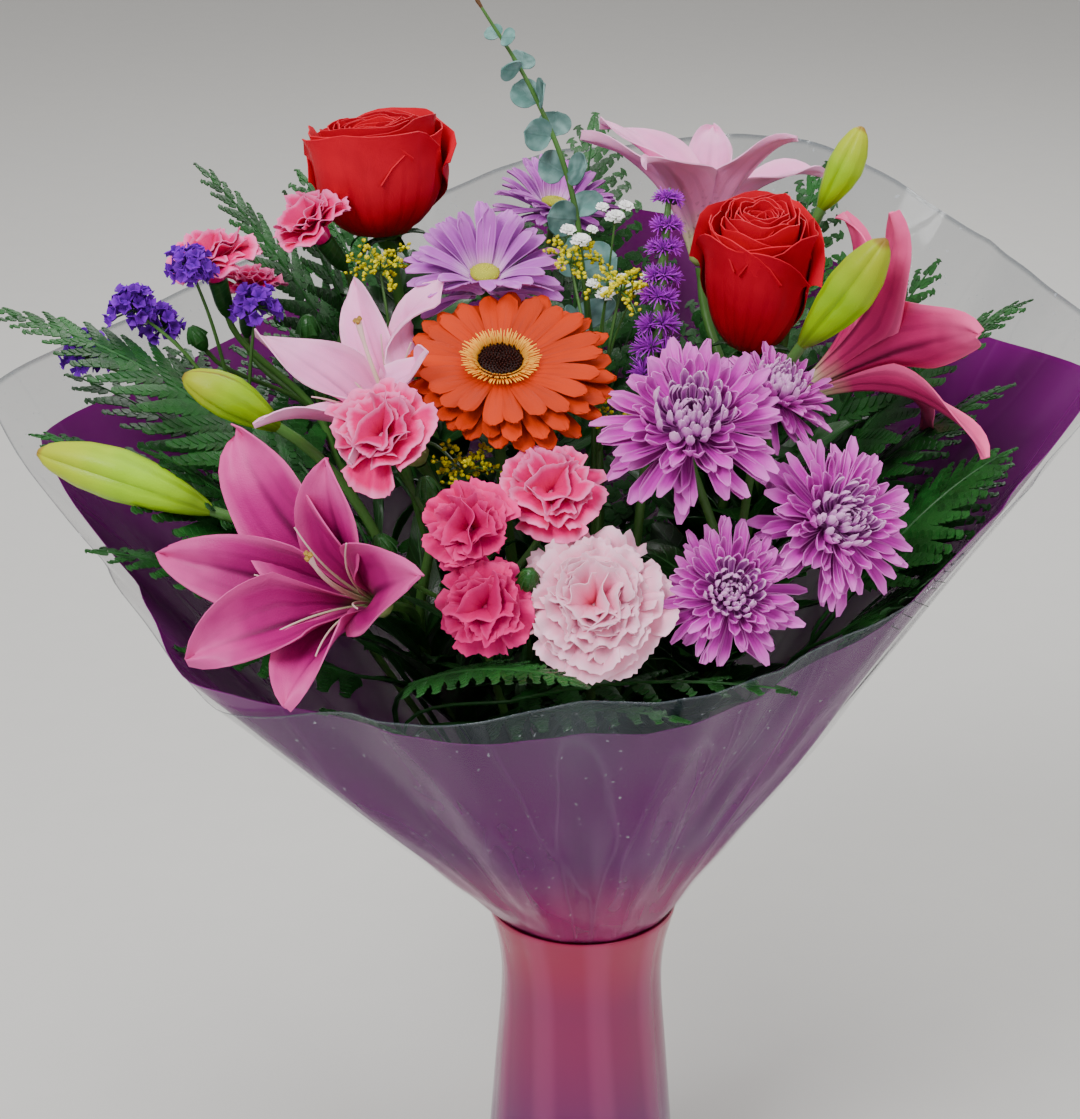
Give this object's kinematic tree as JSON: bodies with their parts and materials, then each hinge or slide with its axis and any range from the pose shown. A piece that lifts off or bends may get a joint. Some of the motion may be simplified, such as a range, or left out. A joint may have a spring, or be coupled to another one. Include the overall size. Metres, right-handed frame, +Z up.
{
  "type": "mixed flower bouquet",
  "caption": "Mixed flower bouquet of roses, lilies, gerbera, carnations and chrysanthemums, wrapped in pink and clear film and standing in a pink glass vase.",
  "frame": {"origin": "on the vase's axis, in the plane of the vase's base", "axes": "+Z up along the vase, -Y towards the arrangement's front, +X to the viewer's right"},
  "size_m": [0.5694, 0.4082, 0.6975],
  "materials": {
    "carnation_petal": "matt petal",
    "green_stem": "satin leaf",
    "chrysanthemum_petal": "matt petal",
    "daisy_disc": "matt",
    "daisy_ray": "matt petal",
    "eucalyptus": "waxy leaf",
    "fern": "satin leaf",
    "gerbera_disc": "matt",
    "gerbera_ray": "satin petal",
    "gypsophila": "matt petal",
    "liatris": "matt floret",
    "lily_petal": "satin petal",
    "lily_stamen": "matt",
    "pale_carnation_petal": "matt petal",
    "rose_petal": "velvety petal",
    "solidago": "matt",
    "statice": "papery petal",
    "vase_glass": "clear, tinted",
    "clear_film": "glossy film",
    "pink_film": "glossy film"
  },
  "bodies": {
    "root": {"carnation_a_bloom": "carnation_petal", "carnation_b_bloom": "carnation_petal", "carnation_c_bloom": "carnation_petal", "carnation_d_bloom": "carnation_petal", "carnation_e_bloom": "carnation_petal", "carnation_f_bloom": "carnation_petal", "carnation_front_stem": "green_stem", "carnation_g_bloom": "carnation_petal", "carnation_left_stem": "green_stem", "chrysanthemum_a_bloom": "chrysanthemum_petal", "chrysanthemum_b_bloom": "chrysanthemum_petal", "chrysanthemum_c_bloom": "chrysanthemum_petal", "chrysanthemum_d_bloom": "chrysanthemum_petal", "chrysanthemum_stem": "green_stem", "daisy_back_disc": "daisy_disc", "daisy_back_rays": "daisy_ray", "daisy_left_disc": "daisy_disc", "daisy_left_rays": "daisy_ray", "daisy_stem": "green_stem", "eucalyptus_tall": "eucalyptus", "fern_back": "fern", "fern_back_left": "fern", "fern_back_right": "fern", "fern_front": "fern", "fern_left_high": "fern", "fern_left_long": "fern", "fern_left_low": "fern", "fern_right_high": "fern", "fern_right_low": "fern", "gerbera_disc": "gerbera_disc", "gerbera_rays": "gerbera_ray", "gerbera_stem": "green_stem", "gypsophila": "gypsophila", "liatris": "liatris", "lily_back_bloom": "lily_petal", "lily_front_bloom": "lily_petal", "lily_front_stamens": "lily_stamen", "lily_left_stem": "green_stem", "lily_mid_bloom": "lily_petal", "lily_mid_stamens": "lily_stamen", "lily_right_bloom": "lily_petal", "lily_right_stem": "green_stem", "pale_carnation_bloom": "pale_carnation_petal", "pale_carnation_stem": "green_stem", "rose_left_bloom": "rose_petal", "rose_left_stem": "green_stem", "rose_right_bloom": "rose_petal", "rose_right_stem": "green_stem", "solidago_centre": "solidago", "solidago_left": "solidago", "statice": "statice", "vase": "vase_glass", "wrapper_clear_film": "clear_film", "wrapper_pink_film": "pink_film"}
  },
  "joints": []
}
